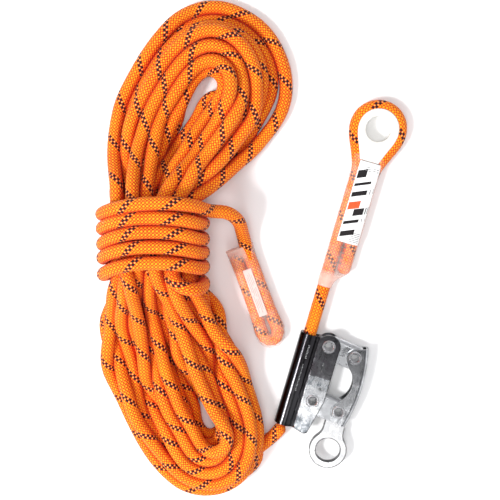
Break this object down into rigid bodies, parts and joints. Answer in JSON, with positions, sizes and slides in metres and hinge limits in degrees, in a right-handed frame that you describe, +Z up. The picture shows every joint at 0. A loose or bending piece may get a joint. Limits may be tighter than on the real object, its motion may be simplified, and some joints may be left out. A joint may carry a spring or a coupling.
{
  "type": "rope grab",
  "caption": "Double-cam fall-arrest rope grab with a swinging eye plate, on a kernmantle lifeline with a thimble eye and a wrapped hank.",
  "frame": {"origin": "on the supporting surface, under the middle of the grab's own box (rope and its fittings left out)", "axes": "+Y along the rope through the grab, towards the rope's anchor eye; +X from the rope tube to the coupler; +Z up from the surface that it lies on"},
  "size_m": [0.287, 0.4364, 0.082],
  "materials": {
    "polished_stainless": "polished stainless sheet and plate with fine handling scratches",
    "satin_stainless": "bright rolled stainless sheet",
    "cam_steel": "cast stainless, satin, toothed nose",
    "rivet_steel": "turned stainless with rolled heads",
    "spring_steel": "bright spring wire",
    "washer_nylon": "plain white nylon",
    "kernmantle_rope": "orange braided sheath with one black tracer pair",
    "thimble_nylon": "moulded white nylon, satin",
    "clear_film": "clear heat-shrink film, slightly milky at its edges",
    "printed_label": "white printed film with plain dark and orange shapes",
    "clear_label": "milky film with faint grey lines",
    "stitch_thread": "waxed black polyester thread"
  },
  "bodies": {
    "lifeline": {"rope_in_grab": "kernmantle_rope", "rope_eye": "kernmantle_rope", "eye_thimble": "thimble_nylon", "eye_sleeve": "clear_film", "eye_label": "printed_label", "eye_stitching": "stitch_thread", "rope_lower": "kernmantle_rope", "rope_hank_upper": "kernmantle_rope", "rope_hank_lower": "kernmantle_rope", "rope_hank_wraps": "kernmantle_rope", "rope_end": "kernmantle_rope", "end_sleeve": "clear_film", "end_label": "clear_label", "end_stitching": "stitch_thread"},
    "grab_body": {"housing": "polished_stainless", "upper_housing_rivet": "rivet_steel", "lower_housing_rivet": "rivet_steel"},
    "upper_link": {"upper_bracket": "satin_stainless", "upper_cam": "cam_steel", "upper_spacer": "rivet_steel", "torsion_spring": "spring_steel"},
    "lower_link": {"lower_bracket": "satin_stainless", "lower_cam": "cam_steel"},
    "coupler": {"coupler": "polished_stainless", "upper_coupler_rivet": "rivet_steel", "lower_coupler_rivet": "rivet_steel"},
    "eye_plate": {"eye_plate": "polished_stainless", "eye_washers": "washer_nylon"}
  },
  "joints": [
    {"name": "slide_on_rope", "type": "slide", "parent": "lifeline", "child": "grab_body", "axis": [0, 1, 0], "range_m": [0, 0.034]},
    {"name": "lower_link_hinge", "type": "hinge", "parent": "grab_body", "child": "lower_link", "pos_m": [-0.0082, -0.00195, 0.0087], "axis": [0, 0, 1], "range_deg": [0, 28], "stiffness_Nm_per_rad": 0.05},
    {"name": "upper_link_hinge", "type": "hinge", "parent": "grab_body", "child": "upper_link", "pos_m": [-0.0082, 0.05185, 0.0087], "axis": [0, 0, 1], "range_deg": [0, 28]},
    {"name": "coupler_hinge", "type": "hinge", "parent": "lower_link", "child": "coupler", "pos_m": [0.018, -0.00565, 0.0087], "axis": [0, 0, 1], "range_deg": [-28, 0]},
    {"name": "eye_swing", "type": "hinge", "parent": "coupler", "child": "eye_plate", "pos_m": [0.018, -0.00565, 0.0087], "axis": [0, 0, 1], "range_deg": [-22, 4]}
  ],
  "couplings": [
    {"joint": "upper_link_hinge", "follows": "lower_link_hinge", "ratio": 1},
    {"joint": "coupler_hinge", "follows": "lower_link_hinge", "ratio": -1}
  ]
}
